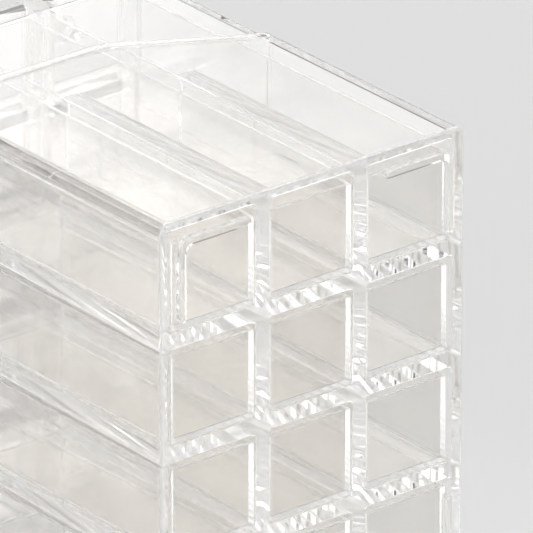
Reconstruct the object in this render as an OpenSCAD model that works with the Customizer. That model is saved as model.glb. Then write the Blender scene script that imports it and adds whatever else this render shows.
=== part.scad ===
// Clear drawer organiser: a moulded rear shell with a closed back and a grid of tapered
// cells, a front frame set into the shell's rim, and one slim tray drawer in every cell.
// Millimetres. +Z up, the drawers open towards -Y, the closed ribbed back faces +Y.
// The origin is the centre of the bounding box at the level the feet stand on.

/* [Grid of cells] */
// Drawers side by side
cols = 3; // [1:1:5]
// Drawers one above the other
rows = 4; // [1:1:6]
// Distance between drawer centres, sideways
pitch_x = 40; // [30:0.5:60]
// Distance between drawer centres, upwards
pitch_z = 39.8; // [30:0.2:60]

/* [Rear shell] */
// Thickness of the outer walls
wall = 3.6; // [2.8:0.1:5]
// Thickness of the closed back plate
back_t = 2.6; // [1.5:0.1:4]
// Thickness of shelves and dividers where they grow out of the back plate
web_root = 5.3; // [3:0.1:8]
// Thickness of shelves and dividers at their free rims
web_tip = 2.1; // [1.5:0.1:4]
// Inside corner radius of a cell
cell_r = 2; // [1:0.1:6]
// Radius of the shell's long edges
edge_r = 3.6; // [2:0.1:5]
// Radius of the edge that runs round the closed back
back_r = 1.6; // [0.5:0.1:3]
// Depth of the webs at the long side of the shell
web_d = 101; // [60:1:120]
// Depth of the webs at the short side of the shell
web_short_d = 83; // [50:1:120]
// Depth of the outer wall at the long side
rim_d = 126; // [122:1:150]
// Depth of the outer wall at the short side
rim_short_d = 97; // [92:1:122]
// Where the rim leaves the straight line, measured from the long side
rim_bend = 74; // [40:1:100]
// Radius of that bend in the rim
bend_r = 18; // [5:1:40]
// Thickness of the outer lip that the front frame slips into
lip = 1.5; // [1:0.1:2]

/* [Corner ribs on the back] */
// Length of each arm of an L-shaped rib
rib_arm = 29; // [10:0.5:34]
// Width of a rib
rib_w = 2.6; // [1.5:0.1:5]
// Height of a rib above the back plate
rib_h = 2.4; // [0.5:0.1:4]
// Distance from the shell's sides to the rib's outer line
rib_inset = 6.1; // [4:0.1:12]
// Outer radius of the rib's corner
rib_r = 5.5; // [3.5:0.1:8]

/* [Front frame] */
// Length of frame that sits inside the shell's lip
lap = 3; // [2:0.5:12]
// Depth from the back plate to the front of the frame
case_d = 172; // [150:1:220]
// Depth of the lattice that carries the drawer fronts
lattice_d = 9; // [4:0.5:20]
// Bond gap between frame and shell
bond_gap = 0.1; // [0:0.05:0.3]

/* [Drawers] */
// Running gap between a tray and the narrowest part of its cell
run_gap = 0.35; // [0.3:0.05:1]
// Thickness of a tray's walls and floor
tray_wall = 1.5; // [1:0.1:3]
// Free height left above a tray
head_gap = 3.2; // [3:0.1:12]
// Thickness of a drawer front
front_t = 3.2; // [2:0.1:5]
// Free strip between two drawer fronts
front_gap = 1.6; // [0.6:0.1:6]
// Gap between the frame and the back of a closed drawer front
close_gap = 0.4; // [0.3:0.1:1]
// Corner radius of a drawer front
front_r = 3; // [1:0.1:8]

/* [Knobs] */
// Diameter of a knob's head
knob_d = 9; // [6:0.5:14]
// Length of a knob in front of the drawer
knob_l = 8; // [4:0.5:14]
// Diameter of the knob's neck
neck_d = 5; // [3:0.5:8]
// Diameter of the spigot that goes through the front
spigot_d = 3; // [2:0.5:5]

/* [Feet] */
// Diameter of a foot
foot_d = 10; // [6:0.5:16]
// Height of the rear feet
foot_h = 2.5; // [1:0.1:6]
// Distance of the feet from the sides, the back and the front
foot_inset = 11; // [8:0.5:30]

/* [Hidden] */
$fn = 48;
eps = 0.01;
over = 1;
case_w = cols * pitch_x - web_tip + 2 * wall;
case_h = rows * pitch_z - web_tip + 2 * wall;
knob_out = front_t + close_gap + knob_l;
back_y = (case_d + knob_out - rib_h) / 2;
front_y = back_y - case_d;
long_x = case_w / 2;
inner_x = long_x - wall;
inner_z0 = foot_h + wall;
inner_z1 = foot_h + case_h - wall;
lap_slope = (rim_d - rim_short_d) / (case_w - rim_bend);
tray_w = pitch_x - web_root - 2 * run_gap;
tray_h = pitch_z - web_root - run_gap - head_gap;
tray_r = cell_r - run_gap;
tray_back = back_t + 2 * close_gap;
frame_inset = lip + bond_gap;
front_foot_h = foot_h + frame_inset;
front_mid = (pitch_z - web_root) / 2 - run_gap;

function bend_points(r, steps) =
    let (turn = atan(lap_slope), reach = r * tan(turn / 2))
    [for (i = [0 : steps])
        let (a = turn * i / steps)
        [rim_bend - reach + r * sin(a), rim_d - r * (1 - cos(a))]];

// Depth of the outer rim for a shift s towards the back, as [distance from long side, depth]
function rim_line(s) = concat(
    [[0, rim_d - s]],
    [for (p = bend_points(bend_r, 8)) [p[0], p[1] - s]],
    [[case_w, rim_short_d - s]]);

// Depth of the webs' free rims
function web_line() = [
    [0, web_d],
    [divider_x(1), web_d],
    [case_w, web_short_d]];

function divider_x(i) = wall - web_tip / 2 + i * pitch_x;
function plan(points) = [for (p = points) [long_x - p[0], back_y - p[1]]];
function half_web(i, n, half) = i == 0 || i == n ? web_tip / 2 : half;
function cell_x(c, half) = [
    -long_x + divider_x(c) + half_web(c, cols, half),
    -long_x + divider_x(c + 1) - half_web(c + 1, cols, half)];
function cell_z(r, half) = [
    foot_h + wall - web_tip / 2 + r * pitch_z + half_web(r, rows, half),
    foot_h + wall - web_tip / 2 + (r + 1) * pitch_z - half_web(r + 1, rows, half)];
function drawer_x(c) = (c - (cols - 1) / 2) * pitch_x;
function drawer_z(r) = foot_h + wall - web_tip / 2 + r * pitch_z + web_root / 2 + run_gap;

CLEAR = [0.93, 0.96, 0.97, 0.45];
TRAY = [0.88, 0.93, 0.95, 0.4];
SOFT = [0.85, 0.87, 0.88, 0.8];

// Rectangle from corner a to corner b with rounded corners
module soft_rect(a, b, r) {
    union() {
        translate([a[0] + r, a[1]])
            square([b[0] - a[0] - 2 * r, b[1] - a[1]]);
        translate([a[0], a[1] + r])
            square([b[0] - a[0], b[1] - a[1] - 2 * r]);
        for (x = [a[0] + r, b[0] - r])
            for (y = [a[1] + r, b[1] - r])
                translate([x, y])
                    circle(r);
    }
}

// Upright profile in X and Z, pushed out from y0 towards the back by d
module along_y(y0, d) {
    translate([0, y0 + d, 0])
        rotate([90, 0, 0])
            linear_extrude(d)
                children();
}

// Point that stays put when the span a grows into the span b
function still_point(a, b) = (b[0] * (a[1] - a[0]) - a[0] * (b[1] - b[0]))
    / ((a[1] - a[0]) - (b[1] - b[0]));

// One cell: narrow at the back plate, wider at its mouth
module cell(c, r) {
    x = cell_x(c, web_root / 2);
    z = cell_z(r, web_root / 2);
    mouth_x = cell_x(c, web_tip / 2);
    mouth_z = cell_z(r, web_tip / 2);
    still_x = still_point(x, mouth_x);
    still_z = still_point(z, mouth_z);
    translate([still_x, back_y - back_t, still_z])
        rotate([90, 0, 0])
            linear_extrude(web_d - back_t, slices = 1, scale = [
                (mouth_x[1] - mouth_x[0]) / (x[1] - x[0]),
                (mouth_z[1] - mouth_z[0]) / (z[1] - z[0])])
                soft_rect([x[0] - still_x, z[0] - still_z], [x[1] - still_x, z[1] - still_z],
                    cell_r, $fn = 24);
}

// Upright slice through the case, set in from its outer surface
module case_section(inset, r) {
    soft_rect([-long_x + inset, foot_h + inset], [long_x - inset, foot_h + case_h - inset], r);
}

// Everything in front of a line seen from above, as deep as the case
module in_front_of(line) {
    linear_extrude(foot_h + case_h + over)
        polygon(plan(concat(line, [[case_w + over, line[len(line) - 1][1]],
            [case_w + over, 2 * case_d], [-over, 2 * case_d], [-over, line[0][1]]])));
}

// Outer form of the shell: rounded on its long edges, and a little round its back
module shell_form() {
    intersection() {
        along_y(back_y - 2 * rim_d, 2 * rim_d)
            case_section(0, edge_r);
        linear_extrude(foot_h + case_h + over)
            soft_rect([-long_x, back_y - 2 * rim_d], [long_x, back_y], back_r);
        translate([-case_w, 0, 0])
            rotate([90, 0, 90])
                linear_extrude(2 * case_w)
                    soft_rect([back_y - 2 * rim_d, foot_h], [back_y, foot_h + case_h], back_r);
    }
}

// L-shaped rib in the lower left corner, arms towards +X and +Z
module corner_rib() {
    difference() {
        union() {
            soft_rect([0, 0], [rib_arm, rib_w], rib_w / 2 - eps);
            soft_rect([0, 0], [rib_w, rib_arm], rib_w / 2 - eps);
            square([rib_r, rib_r]);
        }
        difference() {
            square(rib_r);
            translate([rib_r, rib_r])
                circle(rib_r);
        }
        difference() {
            translate([rib_w, rib_w])
                square(rib_r);
            translate([rib_w, 0])
                square([rib_arm, rib_w]);
            translate([0, rib_w])
                square([rib_w, rib_arm]);
        }
    }
}

module rear_shell() {
    color(CLEAR) {
        difference() {
            shell_form();
            in_front_of(rim_line(0));
            intersection() {
                in_front_of(rim_line(lap));
                along_y(back_y - 2 * rim_d, 2 * rim_d)
                    case_section(lip, edge_r - lip);
            }
            intersection() {
                in_front_of(web_line());
                along_y(back_y - 2 * rim_d, 2 * rim_d)
                    case_section(wall, cell_r);
            }
            for (c = [0 : cols - 1])
                for (r = [0 : rows - 1])
                    cell(c, r);
        }
        for (side = [-1, 1])
            for (up = [0, 1])
                translate([
                    side * (long_x - rib_inset),
                    back_y - eps,
                    foot_h + (up ? case_h - rib_inset : rib_inset)])
                    mirror([side > 0 ? 1 : 0, 0, 0])
                        mirror([0, 0, up])
                            along_y(0, rib_h + eps)
                                corner_rib();
    }
}

module front_frame() {
    color(CLEAR)
        difference() {
            intersection() {
                in_front_of(rim_line(lap - bond_gap));
                along_y(front_y, case_d)
                    case_section(frame_inset, edge_r - frame_inset);
            }
            along_y(front_y + lattice_d, case_d)
                case_section(wall, cell_r);
            for (c = [0 : cols - 1])
                for (r = [0 : rows - 1])
                    along_y(front_y - over, lattice_d + 2 * over)
                        translate([drawer_x(c), drawer_z(r) - run_gap])
                            soft_rect(
                                [-tray_w / 2 - run_gap, 0],
                                [tray_w / 2 + run_gap, pitch_z - web_root],
                                cell_r);
        }
}

// U-shaped cross-section of a tray, floor level at z = 0
module tray_section(inset) {
    difference() {
        soft_rect([-tray_w / 2 + inset, inset], [tray_w / 2 - inset, 2 * tray_h], tray_r - inset);
        translate([-tray_w, tray_h])
            square([2 * tray_w, 2 * tray_h]);
    }
}

module drawer(c, r) {
    tray_l = case_d + close_gap - tray_back;
    translate([drawer_x(c), 0, drawer_z(r)])
        color(TRAY)
            difference() {
                union() {
                    along_y(front_y - close_gap - eps, tray_l + eps)
                        tray_section(0);
                    along_y(front_y - close_gap - front_t, front_t)
                        soft_rect(
                            [-(pitch_x - front_gap) / 2, front_mid - (pitch_z - front_gap) / 2],
                            [(pitch_x - front_gap) / 2, front_mid + (pitch_z - front_gap) / 2],
                            front_r);
                }
                along_y(front_y - close_gap, tray_l - tray_wall)
                    union() {
                        tray_section(tray_wall);
                        translate([-tray_w / 2 + tray_wall, tray_h / 2])
                            square([tray_w - 2 * tray_wall, tray_h]);
                    }
                along_y(front_y - close_gap - front_t - over, front_t + 2 * over)
                    translate([0, front_mid])
                        circle(d = spigot_d);
            }
}

module knob(c, r) {
    face_y = front_y - close_gap - front_t;
    translate([drawer_x(c), face_y + front_t, drawer_z(r) + front_mid])
        rotate([90, 0, 0])
            color(TRAY)
                rotate_extrude($fn = 64)
                    polygon([
                        [0, 0],
                        [spigot_d / 2, 0],
                        [spigot_d / 2, front_t],
                        [neck_d / 2, front_t],
                        [neck_d / 2, front_t + knob_l * 0.45],
                        [knob_d / 2, front_t + knob_l * 0.7],
                        [knob_d / 2, front_t + knob_l * 0.9],
                        [knob_d / 2 - knob_l * 0.1, front_t + knob_l],
                        [0, front_t + knob_l]]);
}

module foot(side, h, y) {
    translate([side * (long_x - wall - foot_inset), y, 0])
        color(SOFT)
            cylinder(d = foot_d, h = h);
}

rear_shell();
front_frame();
for (r = [1 : rows]) {
    for (c = [1 : cols]) {
        drawer(c - 1, rows - r);
        knob(c - 1, rows - r);
    }
}
foot(-1, foot_h, back_y - foot_inset);  // foot_rear_left
foot(1, foot_h, back_y - foot_inset);  // foot_rear_right
foot(-1, front_foot_h, front_y + foot_inset);  // foot_front_left
foot(1, front_foot_h, front_y + foot_inset);  // foot_front_right
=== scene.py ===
import math
import bpy
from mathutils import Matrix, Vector


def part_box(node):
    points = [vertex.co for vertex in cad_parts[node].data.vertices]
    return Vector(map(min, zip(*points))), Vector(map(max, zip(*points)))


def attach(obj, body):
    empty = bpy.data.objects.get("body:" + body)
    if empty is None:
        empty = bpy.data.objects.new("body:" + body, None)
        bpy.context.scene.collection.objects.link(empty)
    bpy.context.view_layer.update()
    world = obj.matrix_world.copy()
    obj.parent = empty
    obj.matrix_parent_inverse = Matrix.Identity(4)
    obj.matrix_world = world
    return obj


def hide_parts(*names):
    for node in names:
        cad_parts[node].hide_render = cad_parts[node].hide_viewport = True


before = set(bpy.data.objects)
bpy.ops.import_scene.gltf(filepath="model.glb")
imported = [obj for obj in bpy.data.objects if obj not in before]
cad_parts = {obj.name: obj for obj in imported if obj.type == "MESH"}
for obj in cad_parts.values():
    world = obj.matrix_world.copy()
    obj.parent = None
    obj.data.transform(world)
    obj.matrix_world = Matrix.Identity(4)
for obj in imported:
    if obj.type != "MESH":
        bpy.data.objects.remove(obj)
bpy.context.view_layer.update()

mm = 0.001
same = 0.01  # places closer than this, in millimetres, count as one
along = 0.9  # a direction with this share of an axis counts as running along it


# Helpers for selecting and modelling

def clearSelection():
    if bpy.context.object and bpy.context.object.mode != "OBJECT":
        bpy.ops.object.mode_set(mode="OBJECT")
    bpy.ops.object.select_all(action="DESELECT")


def pick(obj):
    clearSelection()
    obj.select_set(True)
    bpy.context.view_layer.objects.active = obj


def makeBlock(name, low, high):
    # low and high are opposite corners in millimetres
    clearSelection()
    low, high = Vector(low) * mm, Vector(high) * mm
    bpy.ops.mesh.primitive_cube_add(size=1, location=(low + high) / 2)
    obj = bpy.context.object
    obj.name = name
    obj.scale = high - low
    bpy.ops.object.transform_apply(location=True, rotation=True, scale=True)
    return obj


def deselectMesh(obj, kind):
    # kind is what the next selection is made of: VERT, EDGE or FACE
    pick(obj)
    bpy.ops.object.mode_set(mode="EDIT")
    bpy.ops.mesh.select_mode(type=kind)
    bpy.ops.mesh.select_all(action="DESELECT")
    bpy.ops.object.mode_set(mode="OBJECT")


def selectEdges(obj, test):
    # test gets an edge's middle in millimetres and its direction, made positive
    deselectMesh(obj, "EDGE")
    for edge in obj.data.edges:
        a, b = (obj.data.vertices[i].co / mm for i in edge.vertices)
        way = (b - a).normalized()
        edge.select = bool(test((a + b) / 2, Vector(abs(c) for c in way)))
    bpy.ops.object.mode_set(mode="EDIT")


def selectVertices(obj, test):
    # test gets a point in millimetres
    deselectMesh(obj, "VERT")
    for vertex in obj.data.vertices:
        vertex.select = bool(test(vertex.co / mm))
    bpy.ops.object.mode_set(mode="EDIT")


def selectFaces(obj, test):
    # test gets a face's centre in millimetres and its normal
    deselectMesh(obj, "FACE")
    for face in obj.data.polygons:
        face.select = bool(test(face.center / mm, face.normal))
    bpy.ops.object.mode_set(mode="EDIT")


def roundEdges(obj, radius, steps, test):
    selectEdges(obj, test)
    bpy.ops.mesh.bevel(offset_type="OFFSET", offset=radius * mm, segments=steps,
                       affect="EDGES", clamp_overlap=False)
    bpy.ops.object.mode_set(mode="OBJECT")


def extrudeFaces(obj, test, shift):
    selectFaces(obj, test)
    bpy.ops.mesh.extrude_region_move(
        TRANSFORM_OT_translate={"value": tuple(Vector(shift) * mm)})
    bpy.ops.object.mode_set(mode="OBJECT")


def moveEdges(obj, test, shift):
    selectEdges(obj, test)
    bpy.ops.transform.translate(value=tuple(Vector(shift) * mm))
    bpy.ops.object.mode_set(mode="OBJECT")


finish = {
    "mergeUnder": 0.004,    # millimetres between points that are merged
    "flatUnder": 0.2,       # degrees between faces that are merged into one
    "roundOver": 34,        # degrees between faces whose edge gets a small round
    "smoothUnder": 50,      # degrees between faces that are shaded as one surface
}


def tidyMesh(obj, mergeFlat=True):
    pick(obj)
    bpy.ops.object.mode_set(mode="EDIT")
    bpy.ops.mesh.select_all(action="SELECT")
    bpy.ops.mesh.remove_doubles(threshold=finish["mergeUnder"] * mm)
    if mergeFlat:
        bpy.ops.mesh.dissolve_limited(angle_limit=math.radians(finish["flatUnder"]))
    bpy.ops.mesh.normals_make_consistent(inside=False)
    bpy.ops.object.mode_set(mode="OBJECT")


def joinAll(pieces):
    clearSelection()
    for piece in pieces:
        piece.select_set(True)
    bpy.context.view_layer.objects.active = pieces[0]
    bpy.ops.object.join()
    return bpy.context.object


def combine(obj, tool, operation="DIFFERENCE"):
    pick(obj)
    bpy.ops.object.modifier_add(type="BOOLEAN")
    step = obj.modifiers[-1]
    step.operation = operation
    step.solver = "EXACT"
    step.object = tool
    bpy.ops.object.modifier_apply(modifier=step.name)
    bpy.data.objects.remove(tool, do_unlink=True)


def softenPiece(obj, radius, steps=2):
    # The small round on each edge is what catches light in clear plastic.
    tidyMesh(obj, mergeFlat=False)
    pick(obj)
    bpy.ops.object.modifier_add(type="BEVEL")
    step = obj.modifiers[-1]
    step.width = radius * mm
    step.segments = steps
    step.limit_method = "ANGLE"
    step.angle_limit = math.radians(finish["roundOver"])
    step.use_clamp_overlap = False
    bpy.ops.object.modifier_apply(modifier=step.name)
    bpy.ops.object.shade_smooth_by_angle(angle=math.radians(finish["smoothUnder"]))
    bpy.ops.object.modifier_add(type="WEIGHTED_NORMAL")
    step = obj.modifiers[-1]
    step.keep_sharp = True
    bpy.ops.object.modifier_apply(modifier=step.name)


def copyTo(obj, name, shift):
    pick(obj)
    bpy.ops.object.duplicate()
    twin = bpy.context.object
    twin.name = name
    twin.location = Vector(shift) * mm
    bpy.ops.object.transform_apply(location=True, rotation=True, scale=True)
    return twin


# Helpers for materials

def toLinear(code):
    parts = [int(code[i:i + 2], 16) / 255 for i in (1, 3, 5)]
    return [c / 12.92 if c <= 0.04045 else ((c + 0.055) / 1.055) ** 2.4 for c in parts] + [1.0]


def addNode(tree, kind, sockets, **settings):
    # sockets gives each input, by its name or number, a value or the output that feeds it
    node = tree.nodes.new(kind)
    for name, value in settings.items():
        setattr(node, name, value)
    for key, value in sockets.items():
        if isinstance(value, bpy.types.NodeSocket):
            tree.links.new(value, node.inputs[key])
        else:
            node.inputs[key].default_value = value
    return node


def dress(pieces, material):
    for piece in pieces:
        piece.data.materials.clear()
        piece.data.materials.append(material)


# Measures shared by the pieces, in millimetres, as the model has them

shellLow, shellHigh = (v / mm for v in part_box("rear_shell"))
frameLow, frameHigh = (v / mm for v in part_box("front_frame"))
grid = {
    "columns": 3,
    "rows": 4,
    "pitchX": 40.0,
    "pitchZ": 39.8,
    "wall": 3.6,
    "webRoot": 5.3,
    "webTip": 2.1,
    "cellRound": 2.0,
    "runGap": 0.35,
    "overshoot": 1.0,       # how far a cutter runs past the face that it opens
}
longX = shellHigh.x
lowZ, highZ = shellLow.z, shellHigh.z
midZ = (lowZ + highZ) / 2
frontY = frameLow.y


def spanX(column, half):
    # From side to side of a cell whose webs are twice half thick
    edge = -longX + grid["wall"] - grid["webTip"] / 2
    outer = grid["webTip"] / 2
    last = grid["columns"] - 1
    start = edge + column * grid["pitchX"] + (outer if column == 0 else half)
    end = edge + (column + 1) * grid["pitchX"] - (outer if column == last else half)
    return start, end


def spanZ(row, half):
    # From floor to ceiling of the same cell
    edge = lowZ + grid["wall"] - grid["webTip"] / 2
    outer = grid["webTip"] / 2
    last = grid["rows"] - 1
    start = edge + row * grid["pitchZ"] + (outer if row == 0 else half)
    end = edge + (row + 1) * grid["pitchZ"] - (outer if row == last else half)
    return start, end


def isLongCorner(c, d, half):
    # The four long corners of the case, on a block whose sides are further out than half
    return d.y > along and abs(c.x) > half and abs(c.z - midZ) > grid["pitchZ"]


def drawerX(column):
    return (column - (grid["columns"] - 1) / 2) * grid["pitchX"]


def drawerZ(row):
    return (lowZ + grid["wall"] - grid["webTip"] / 2 + row * grid["pitchZ"]
            + grid["webRoot"] / 2 + grid["runGap"])


def bentBlock(name, inset, bendW, nearY, rise, farY):
    # Seen from above, one side of this block runs straight at nearY as far as bendW from the
    # long side of the case, then slants by rise for each millimetre. The other side is farY.
    half = longX - inset
    bendX = longX - bendW
    obj = makeBlock(name, (bendX, min(nearY, farY), lowZ + inset),
                    (half, max(nearY, farY), highZ - inset))
    reach = bendX + half
    extrudeFaces(obj, lambda c, n: n.x < -along, (-reach, 0, 0))
    moveEdges(obj, lambda c, d: d.z > along and c.x < -half + same and abs(c.y - nearY) < same,
              (0, rise * reach, 0))
    return obj


# Rear shell: closed back, corner ribs, outer walls with a shaped rim, tapered webs

shell = {
    "backPlate": 2.6,
    "edgeRound": 3.6,
    "backRound": 1.6,
    "webDepth": 101.0,      # from the back to the rims of the webs, on the long side
    "webShortDepth": 83.0,  # and on the short side
    "rimDepth": 126.0,
    "rimShortDepth": 97.0,
    "rimBend": 74.0,
    "bendRound": 18.0,
    "lap": 3.0,
    "lip": 1.5,
    "lipCut": 40.0,         # how far the cutters of the lip and of the front room run forwards
    "roomCut": 60.0,
    "cellRoundDeep": 1.7,
    "cellRoundMouth": 3.2,
    "cornerSearch": 1.5,    # how far the middle of a leaning cell edge may be from its corner
    "pocketFloorRound": 0.4,
    "edgeSoftness": 0.3,
}
ribs = {
    "arm": 29.0,
    "width": 2.6,
    "height": 2.4,
    "inset": 6.1,           # from the side of the case to the outer face of the rib
    "cornerRound": 5.5,
    "endFlat": 0.25,
    "topRound": 0.3,
    "sunk": 0.5,            # how far a rib starts inside the back plate
}
backY = shellHigh.y - ribs["height"]
rimRise = (shell["rimDepth"] - shell["rimShortDepth"]) / (2 * longX - shell["rimBend"])
rimReach = shell["bendRound"] * math.tan(math.atan(rimRise) / 2)


def roundBend(obj, nearY):
    bendX = longX - shell["rimBend"]
    roundEdges(obj, rimReach, steps=6, test=lambda c, d: (
        d.z > along and abs(c.x - bendX) < same and abs(c.y - nearY) < same))


def makeShellBody():
    rimY = backY - shell["rimDepth"]
    body = bentBlock("rear_shell_moulding", 0, shell["rimBend"], rimY, rimRise, backY)
    tidyMesh(body)
    roundBend(body, rimY)
    half = longX - same
    roundEdges(body, shell["edgeRound"], steps=7, test=lambda c, d: d.y > along and abs(c.x) > half)
    roundEdges(body, shell["backRound"], steps=4, test=lambda c, d: c.y > backY - same)
    return body


def makeLipCutter():
    lapY = backY - shell["rimDepth"] + shell["lap"]
    tool = bentBlock("cutter", shell["lip"], shell["rimBend"], lapY, rimRise,
                     lapY - shell["lipCut"])
    roundBend(tool, lapY)
    half = longX - shell["lip"] - same
    roundEdges(tool, shell["edgeRound"] - shell["lip"], steps=4,
               test=lambda c, d: isLongCorner(c, d, half))
    return tool


def makeFrontRoomCutter():
    webY = backY - shell["webDepth"]
    firstWeb = grid["wall"] - grid["webTip"] / 2 + grid["pitchX"]
    rise = (shell["webDepth"] - shell["webShortDepth"]) / (2 * longX - firstWeb)
    tool = bentBlock("cutter", grid["wall"], firstWeb, webY, rise, webY - shell["roomCut"])
    half = longX - grid["wall"] - same
    roundEdges(tool, grid["cellRound"], steps=6, test=lambda c, d: isLongCorner(c, d, half))
    return tool


def makePocketCutter(column, row):
    # Wide at its mouth and narrow at the back plate, with corner rounds that tighten towards
    # the plate, as a mould core has. The corner of the whole case keeps one radius.
    mouthX, mouthZ = spanX(column, grid["webTip"] / 2), spanZ(row, grid["webTip"] / 2)
    deepX, deepZ = spanX(column, grid["webRoot"] / 2), spanZ(row, grid["webRoot"] / 2)
    mouthY = backY - shell["webDepth"] - grid["overshoot"]
    deepY = backY - shell["backPlate"]
    tool = makeBlock("cutter", (mouthX[0], mouthY, mouthZ[0]), (mouthX[1], deepY, mouthZ[1]))
    selectFaces(tool, lambda c, n: n.y > along)
    middle = [sum(span) / 2 for span in (mouthX, mouthZ)]
    shift = [sum(deep) / 2 - old for deep, old in zip((deepX, deepZ), middle)]
    bpy.ops.transform.translate(value=(shift[0] * mm, 0, shift[1] * mm))
    bpy.ops.transform.resize(
        value=((deepX[1] - deepX[0]) / (mouthX[1] - mouthX[0]), 1,
               (deepZ[1] - deepZ[0]) / (mouthZ[1] - mouthZ[0])),
        center_override=(sum(deepX) / 2 * mm, deepY * mm, sum(deepZ) / 2 * mm))
    bpy.ops.object.mode_set(mode="OBJECT")

    def atCaseCorner(x, z):
        return (abs(x) > longX - grid["wall"] - same
                and abs(z - midZ) > (highZ - lowZ) / 2 - grid["wall"] - same)

    roundEdges(tool, grid["cellRound"], steps=6,
               test=lambda c, d: d.y > along and atCaseCorner(c.x, c.z))
    corners = [(x, z) for x in deepX for z in deepZ if not atCaseCorner(x, z)]
    roundEdges(tool, shell["cellRoundMouth"], steps=6, test=lambda c, d: d.y > along and any(
        math.hypot(c.x - x, c.z - z) < shell["cornerSearch"] for x, z in corners))
    for x, z in corners:
        reach = shell["cellRoundMouth"] + same
        selectVertices(tool, lambda v: v.y > deepY - same and abs(v.x - x) < reach
                       and abs(v.z - z) < reach)
        share = shell["cellRoundDeep"] / shell["cellRoundMouth"]
        bpy.ops.transform.resize(value=(share, 1, share),
                                 center_override=(x * mm, deepY * mm, z * mm))
        bpy.ops.object.mode_set(mode="OBJECT")
    roundEdges(tool, shell["pocketFloorRound"], steps=3,
               test=lambda c, d: c.y > deepY - same and d.y < 1 - along)
    return tool


def makeRib(sideX, sideZ):
    # An L with its corner near the corner of the back plate
    edgeX = sideX * (longX - ribs["inset"])
    edgeZ = (highZ - ribs["inset"]) if sideZ > 0 else (lowZ + ribs["inset"])
    inX = edgeX - sideX * ribs["width"]
    inZ = edgeZ - sideZ * ribs["width"]
    rib = makeBlock("rib", (min(edgeX, inX), backY - ribs["sunk"], min(edgeZ, inZ)),
                    (max(edgeX, inX), backY + ribs["height"], max(edgeZ, inZ)))
    length = ribs["arm"] - ribs["width"]
    extrudeFaces(rib, lambda c, n: n.x * sideX < -along, (-sideX * length, 0, 0))
    extrudeFaces(rib, lambda c, n: n.z * sideZ < -along and abs(c.x - (edgeX + inX) / 2) < same,
                 (0, 0, -sideZ * length))
    tidyMesh(rib)
    roundEdges(rib, ribs["cornerRound"], steps=6, test=lambda c, d:
               d.y > along and abs(c.x - edgeX) < same and abs(c.z - edgeZ) < same)
    roundEdges(rib, ribs["cornerRound"] - ribs["width"], steps=4, test=lambda c, d:
               d.y > along and abs(c.x - inX) < same and abs(c.z - inZ) < same)
    endRound = ribs["width"] / 2 - ribs["endFlat"]
    roundEdges(rib, endRound, steps=4, test=lambda c, d: d.y > along and (
        abs(c.x - edgeX) > ribs["arm"] - same or abs(c.z - edgeZ) > ribs["arm"] - same))
    roundEdges(rib, ribs["topRound"], steps=3,
               test=lambda c, d: c.y > backY + ribs["height"] - same)
    return rib


rearShell = makeShellBody()
combine(rearShell, makeLipCutter())
combine(rearShell, makeFrontRoomCutter())
combine(rearShell, joinAll([makePocketCutter(c, r) for c in range(grid["columns"])
                            for r in range(grid["rows"])]))
combine(rearShell, joinAll([makeRib(x, z) for x in (-1, 1) for z in (-1, 1)]), "UNION")
softenPiece(rearShell, shell["edgeSoftness"])
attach(rearShell, "case")
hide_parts("rear_shell")
print("rear shell", len(rearShell.data.polygons))


# Front frame: a sleeve nested in the shell's lip, closed by a lattice of twelve openings

front = {
    "bondGap": 0.1,         # room for the cement between the sleeve and the lip
    "latticeDepth": 9.0,
    "edgeSoftness": 0.35,
}
frameInset = shell["lip"] + front["bondGap"]


def makeFrameBody():
    lapY = backY - shell["rimDepth"] + shell["lap"] - front["bondGap"]
    body = bentBlock("front_frame_sleeve", frameInset, shell["rimBend"], lapY, rimRise, frontY)
    roundBend(body, lapY)
    tidyMesh(body)
    half = longX - frameInset - same
    roundEdges(body, shell["edgeRound"] - frameInset, steps=4,
               test=lambda c, d: isLongCorner(c, d, half))
    return body


def makeSleeveCutter():
    inset = grid["wall"]
    tool = makeBlock("cutter", (-longX + inset, frontY + front["latticeDepth"], lowZ + inset),
                     (longX - inset, backY, highZ - inset))
    roundEdges(tool, grid["cellRound"], steps=6, test=lambda c, d: d.y > along)
    return tool


def makeOpeningCutter(column, row):
    half = (grid["pitchX"] - grid["webRoot"]) / 2
    x, z = drawerX(column), drawerZ(row) - grid["runGap"]
    tool = makeBlock("cutter", (x - half, frontY - grid["overshoot"], z),
                     (x + half, frontY + front["latticeDepth"] + grid["overshoot"],
                      z + grid["pitchZ"] - grid["webRoot"]))
    roundEdges(tool, grid["cellRound"], steps=5, test=lambda c, d: d.y > along)
    return tool


frontFrame = makeFrameBody()
combine(frontFrame, makeSleeveCutter())
combine(frontFrame, joinAll([makeOpeningCutter(c, r) for c in range(grid["columns"])
                             for r in range(grid["rows"])]))
softenPiece(frontFrame, front["edgeSoftness"])
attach(frontFrame, "case")
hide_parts("front_frame")
print("front frame", len(frontFrame.data.polygons))


# Drawers: a slim open tray behind a flat front

tray = {
    "wall": 1.5,
    "headGap": 3.2,         # above the tray's sides
    "rearGap": 3.4,         # from the back of the case to the tray
    "frontThick": 3.2,
    "frontGap": 1.6,        # between two fronts
    "closeGap": 0.4,        # between a front and the frame
    "frontRound": 3.0,
    "spigot": 3.0,
    "boreSides": 32,
    "boreCut": 10.0,
    "roomCut": 5.0,         # how far the cutter of the room stands out at the top
    "sunk": 0.5,            # how far the tray starts inside its front
    "edgeSoftness": 0.3,
}
trayWide = grid["pitchX"] - grid["webRoot"] - 2 * grid["runGap"]
trayHigh = grid["pitchZ"] - grid["webRoot"] - grid["runGap"] - tray["headGap"]
trayRound = grid["cellRound"] - grid["runGap"]
frontMid = (grid["pitchZ"] - grid["webRoot"]) / 2 - grid["runGap"]
tileBackY = frontY - tray["closeGap"]
tileFrontY = tileBackY - tray["frontThick"]


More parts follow.
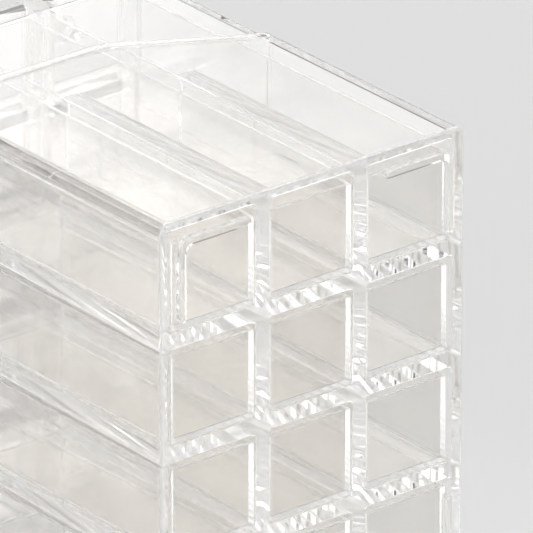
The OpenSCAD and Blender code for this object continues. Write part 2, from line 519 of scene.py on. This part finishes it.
def makeDrawer():
    # Drawn for the middle column with its floor at zero height, then copied to each cell
    half = trayWide / 2
    rearY = backY - tray["rearGap"]
    tileHalfX = (grid["pitchX"] - tray["frontGap"]) / 2
    tileHalfZ = (grid["pitchZ"] - tray["frontGap"]) / 2
    body = makeBlock("drawer", (-half, tileBackY - tray["sunk"], 0), (half, rearY, trayHigh))
    roundEdges(body, trayRound, steps=5, test=lambda c, d: d.y > along and c.z < same)
    tile = makeBlock("tile", (-tileHalfX, tileFrontY, frontMid - tileHalfZ),
                     (tileHalfX, tileBackY, frontMid + tileHalfZ))
    roundEdges(tile, tray["frontRound"], steps=6, test=lambda c, d: d.y > along)
    combine(body, tile, "UNION")
    room = makeBlock("cutter", (-half + tray["wall"], tileBackY, tray["wall"]),
                     (half - tray["wall"], rearY - tray["wall"], trayHigh + tray["roomCut"]))
    roundEdges(room, trayRound - tray["wall"], steps=4,
               test=lambda c, d: d.y > along and c.z < tray["wall"] + same)
    combine(body, room)
    clearSelection()
    bpy.ops.mesh.primitive_cylinder_add(
        vertices=tray["boreSides"], radius=tray["spigot"] / 2 * mm, depth=tray["boreCut"] * mm,
        location=(0, (tileFrontY + tileBackY) / 2 * mm, frontMid * mm),
        rotation=(math.radians(90), 0, 0))
    combine(body, bpy.context.object)
    softenPiece(body, tray["edgeSoftness"])
    return body


knob = {
    "head": 9.0,
    "length": 8.0,
    "neck": 5.0,
    "fit": 0.03,
    "sides": 48,
    "neckShare": 0.45,      # shares of the knob's length
    "flareShare": 0.25,
    "rimShare": 0.2,
    "crownShare": 0.1,
    "edgeSoftness": 0.4,
}


def makeKnob():
    # A short rod whose front end is drawn out into neck and head, looking along -Y
    radius = tray["spigot"] / 2 - knob["fit"]
    clearSelection()
    bpy.ops.mesh.primitive_cylinder_add(
        vertices=knob["sides"], radius=radius * mm, depth=tray["frontThick"] * mm,
        location=(0, (tileFrontY + tileBackY) / 2 * mm, frontMid * mm),
        rotation=(math.radians(90), 0, 0))
    body = bpy.context.object
    body.name = "knob"
    bpy.ops.object.transform_apply(location=True, rotation=True, scale=True)
    steps = (
        (knob["neck"] / 2, 0.0),
        (knob["neck"] / 2, knob["neckShare"]),
        (knob["head"] / 2, knob["flareShare"]),
        (knob["head"] / 2, knob["rimShare"]),
        (knob["head"] / 2 - knob["crownShare"] * knob["length"], knob["crownShare"]),
    )
    size = radius
    selectFaces(body, lambda c, n: n.y < -along)
    reached = tileFrontY
    for ringRadius, share in steps:
        reached -= share * knob["length"]
        bpy.ops.mesh.extrude_region_move(
            TRANSFORM_OT_translate={"value": (0, -share * knob["length"] * mm, 0)})
        grow = ringRadius / size
        bpy.ops.transform.resize(value=(grow, 1, grow),
                                 center_override=(0, reached * mm, frontMid * mm))
        size = ringRadius
    bpy.ops.object.mode_set(mode="OBJECT")
    softenPiece(body, knob["edgeSoftness"], steps=3)
    return body


drawerShape = makeDrawer()
knobShape = makeKnob()
print("drawer", len(drawerShape.data.polygons), "knob", len(knobShape.data.polygons))
drawers, knobs = [], []
for row in range(grid["rows"]):
    for column in range(grid["columns"]):
        label = "r%dc%d" % (grid["rows"] - row, column + 1)
        place = (drawerX(column), 0, drawerZ(row))
        for shape, stem, made in ((drawerShape, "drawer", drawers), (knobShape, "knob", knobs)):
            piece = copyTo(shape, "%s_%s_clear" % (stem, label), place)
            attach(piece, "tray_" + label)
            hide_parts("%s_%s" % (stem, label))
            made.append(piece)
for shape in (drawerShape, knobShape):
    bpy.data.objects.remove(shape, do_unlink=True)
print("drawers and knobs", len(drawers) + len(knobs))


# Feet: low pads, dished underneath

feet = {
    "sides": 48,
    "dish": 0.35,           # how deep the underside is hollowed
    "dishSlope": 0.5,
    "rim": 1.2,
    "edgeSoftness": 0.6,
}


def makeFoot(node):
    low, high = (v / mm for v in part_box(node))
    middle = (low + high) / 2
    clearSelection()
    bpy.ops.mesh.primitive_cylinder_add(
        vertices=feet["sides"], radius=(high.x - low.x) / 2 * mm, depth=(high.z - low.z) * mm,
        location=middle * mm)
    body = bpy.context.object
    body.name = node + "_pad"
    bpy.ops.object.transform_apply(location=True, rotation=True, scale=True)
    selectFaces(body, lambda c, n: n.z < -along)
    bpy.ops.mesh.inset(thickness=feet["rim"] * mm, depth=0)
    bpy.ops.mesh.inset(thickness=feet["dishSlope"] * mm, depth=-feet["dish"] * mm)
    bpy.ops.object.mode_set(mode="OBJECT")
    softenPiece(body, feet["edgeSoftness"], steps=3)
    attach(body, "case")
    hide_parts(node)
    return body


footPads = [makeFoot("foot_%s_%s" % (end, side)) for end in ("rear", "front")
            for side in ("left", "right")]
print("feet", len(footPads))


# Materials

acrylic = {
    "tint": "#fffffe",
    "ior": 1.49,
    "clearness": 1.0,
    "rough": 0.02,
    "waveSize": 0.018,      # metres from one mould wave to the next
    "waveHeight": 0.00002,
}
trayAcrylic = dict(acrylic, tint="#f7f6f5", rough=0.04)
silicone = dict(acrylic, tint="#eef1f3", ior=1.41, rough=0.35)
shadowTint = "#fefefe"


def makeClear(name, looks):
    # Faint waves left by the mould bend what is seen through the plastic, and a trace of
    # roughness softens what lies deep inside more than the edges at its surface.
    mat = bpy.data.materials.new(name)
    mat.use_nodes = True
    tree = mat.node_tree
    shader = tree.nodes["Principled BSDF"]
    shader.inputs["Base Color"].default_value = toLinear(looks["tint"])
    shader.inputs["Roughness"].default_value = looks["rough"]
    shader.inputs["IOR"].default_value = looks["ior"]
    shader.inputs["Transmission Weight"].default_value = looks["clearness"]
    place = addNode(tree, "ShaderNodeTexCoord", {})
    wave = addNode(tree, "ShaderNodeTexNoise", {
        "Vector": place.outputs["Object"], "Scale": 1 / looks["waveSize"], "Detail": 1.0})
    bump = addNode(tree, "ShaderNodeBump", {
        "Height": wave.outputs["Fac"], "Strength": 1.0, "Distance": looks["waveHeight"]})
    tree.links.new(bump.outputs["Normal"], shader.inputs["Normal"])
    # Shadow rays pass, as light does through thin clear walls.
    path = addNode(tree, "ShaderNodeLightPath", {})
    through = addNode(tree, "ShaderNodeBsdfTransparent", {"Color": toLinear(shadowTint)})
    surface = addNode(tree, "ShaderNodeMixShader", {
        0: path.outputs["Is Shadow Ray"], 1: shader.outputs[0], 2: through.outputs[0]})
    tree.links.new(surface.outputs[0], tree.nodes["Material Output"].inputs["Surface"])
    return mat


# Thick polished mouldings: colourless, with bright and dark edges
dress([rearShell, frontFrame], makeClear("moulded_clear_acrylic", acrylic))
# Thin walls: a breath greyer and softer, so that they stand back behind the case
dress(drawers + knobs, makeClear("thin_clear_acrylic", trayAcrylic))
# Satin pads: they glow a little and show nothing sharp behind them
dress(footPads, makeClear("soft_clear_silicone", silicone))
print("materials ready")


# Floor and camera

floorPaper = {
    "size": 3.2,
    "tone": "#d3d3d3",
    "rough": 0.95,
    "sheen": 0.0,
}
clearSelection()
bpy.ops.mesh.primitive_plane_add(size=floorPaper["size"])
floor = bpy.context.object
floor.name = "floor"
# Matt paper, with no gloss to mirror the case
paper = bpy.data.materials.new("matt_floor_paper")
paper.use_nodes = True
paperShader = paper.node_tree.nodes["Principled BSDF"]
paperShader.inputs["Base Color"].default_value = toLinear(floorPaper["tone"])
paperShader.inputs["Roughness"].default_value = floorPaper["rough"]
paperShader.inputs["Specular IOR Level"].default_value = floorPaper["sheen"]
floor.data.materials.append(paper)

view = {
    "azimuth": 141.117,
    "elevation": 24.711,
    "target": (0.03986467, 0.11566598, 0.15534434),
    "distance": 3.46525,
    "lens": 742.964,
    "sensor": 36,
    "nearest": 0.1,
    "farthest": 100,
    "glassBounces": 96,     # a ray crosses dozens of clear walls
    "shadowBounces": 48,
}
up = Vector((0, 0, 1))
turn, lift = math.radians(view["azimuth"]), math.radians(view["elevation"])
toCamera = Vector((math.sin(turn) * math.cos(lift), -math.cos(turn) * math.cos(lift),
                   math.sin(lift)))
ahead = Vector((-toCamera.x, -toCamera.y, 0)).normalized()
right = ahead.cross(up)

cameraData = bpy.data.cameras.new("camera")
camera = bpy.data.objects.new("camera", cameraData)
bpy.context.collection.objects.link(camera)
camera.location = Vector(view["target"]) + toCamera * view["distance"]
camera.rotation_euler = toCamera.to_track_quat("Z", "Y").to_euler()
cameraData.sensor_width = view["sensor"]
cameraData.lens = view["lens"]
cameraData.clip_start = view["nearest"]
cameraData.clip_end = view["farthest"]
scene = bpy.context.scene
scene.camera = camera
scene.view_settings.view_transform = "Standard"
scene.cycles.max_bounces = view["glassBounces"]
scene.cycles.transmission_bounces = view["glassBounces"]
scene.cycles.glossy_bounces = view["glassBounces"]
scene.cycles.transparent_max_bounces = view["shadowBounces"]
print("camera ready")


# Studio: what the clear walls reflect and what is seen through them
#
# Each list holds pairs of place and tone. Round the room, place 0.5 is straight ahead of the
# camera, and smaller is to the left. By height, place is the sine of the angle above the floor.
studio = {
    # Upright panels and dark flags all round the room
    "around": (
        (0.0, 1.6), (0.10, 1.6), (0.12, 0.25), (0.21, 0.25), (0.23, 0.8), (0.255, 0.8),
        (0.265, 0.1), (0.30, 0.1), (0.31, 1.2), (0.35, 1.2), (0.36, 0.4), (0.395, 0.4),
        (0.405, 1.7), (0.455, 1.7), (0.465, 0.1), (0.535, 0.1), (0.545, 1.0), (0.60, 1.0),
        (0.615, 0.4), (0.76, 0.4), (0.79, 0.15), (0.88, 0.15), (0.90, 1.6)),
    # A level band of softboxes, which the flat faces mirror
    "band": ((0.34, 0.0), (0.38, 1.0), (0.49, 1.0), (0.53, 0.0)),
    "alongBand": (
        (0.0, 1.2), (0.24, 1.2), (0.26, 2.0), (0.335, 2.0), (0.35, 1.3), (0.40, 1.3),
        (0.42, 2.1), (0.4955, 2.1), (0.5, 1.4), (0.51, 1.35), (1.0, 1.2)),
    # A dim ceiling, which lights the floor
    "ceiling": ((0.75, 0.0), (0.85, 1.0)),
    "ceilingTone": 0.4,
    # A softbox high up behind the case, on the right, which lights the thick webs from inside
    "glow": ((0.90, 0.0), (0.94, 1.0)),
    "glowTone": 4.0,
    "glowTurn": 31,
    "glowLift": 46,
    # A backdrop behind the far edge of the floor, the same for the camera and for the glass
    "horizon": ((0.0, 1.0), (0.1, 1.0), (0.15, 0.0)),
    "backdrop": 0.73,
}
lamps = {
    "panel_left": {
        "forward": 0.6, "aside": -3.2, "up": 1.6, "wide": 0.8, "high": 1.6, "power": 4.5},
    "panel_above": {
        "forward": 0.0, "aside": 0.4, "up": 3.6, "wide": 1.2, "high": 1.2, "power": 6},
}
lampAim = Vector((0, 0, 0.08))
world = bpy.data.worlds.new("studio")
world.use_nodes = True
tree = world.node_tree

# How far the direction that is looked in runs along each way, from -1 to 1
glowTurn, glowLift = math.radians(studio["glowTurn"]), math.radians(studio["glowLift"])
glowWay = (ahead * math.cos(glowTurn) + right * math.sin(glowTurn)) * math.cos(glowLift)
ways = {"aside": right, "ahead": ahead, "rise": up, "glow": glowWay + up * math.sin(glowLift)}
place = addNode(tree, "ShaderNodeTexCoord", {})
shares = {}
for name, way in ways.items():
    share = addNode(tree, "ShaderNodeVectorMath", {0: place.outputs["Generated"], 1: way},
                    operation="DOT_PRODUCT")
    shares[name] = share.outputs["Value"]
# The angle from straight ahead, as a share of a whole turn, with straight ahead at a half
angle = addNode(tree, "ShaderNodeMath", {0: shares["aside"], 1: shares["ahead"]},
                operation="ARCTAN2")
turned = addNode(tree, "ShaderNodeMath", {0: angle.outputs[0], 1: 1 / (2 * math.pi), 2: 0.5},
                 operation="MULTIPLY_ADD")
shares["turn"] = turned.outputs[0]

tones = {}
for name, share in (("around", "turn"), ("alongBand", "turn"), ("band", "rise"),
                    ("ceiling", "rise"), ("glow", "glow"), ("horizon", "rise")):
    ramp = addNode(tree, "ShaderNodeValToRGB", {"Fac": shares[share]})
    while len(ramp.color_ramp.elements) < len(studio[name]):
        ramp.color_ramp.elements.new(0.5)
    for element, (spot, tone) in zip(ramp.color_ramp.elements, studio[name]):
        element.position = spot
        element.color = (tone, tone, tone, 1)
    tones[name] = ramp.outputs["Color"]
for name in ("ceilingTone", "glowTone", "backdrop"):
    tones[name] = (studio[name],) * 3 + (1,)
tones["camera"] = addNode(tree, "ShaderNodeLightPath", {}).outputs["Is Camera Ray"]

# Each layer covers the ones before it by its share, and the camera sees the last alone.
room = tones["around"]
for share, cover in (("band", "alongBand"), ("ceiling", "ceilingTone"), ("glow", "glowTone"),
                     ("horizon", "backdrop"), ("camera", "backdrop")):
    mix = addNode(tree, "ShaderNodeMixRGB",
                  {"Fac": tones[share], "Color1": room, "Color2": tones[cover]})
    room = mix.outputs["Color"]
tree.links.new(room, tree.nodes["Background"].inputs["Color"])
scene.world = world

for name, lamp in lamps.items():
    light = bpy.data.lights.new(name, "AREA")
    light.shape = "RECTANGLE"
    light.size = lamp["wide"]
    light.size_y = lamp["high"]
    light.energy = lamp["power"]
    panel = bpy.data.objects.new(name, light)
    bpy.context.collection.objects.link(panel)
    panel.location = lampAim + ahead * lamp["forward"] + right * lamp["aside"] + up * lamp["up"]
    panel.rotation_euler = (panel.location - lampAim).to_track_quat("Z", "Y").to_euler()
print("studio ready")
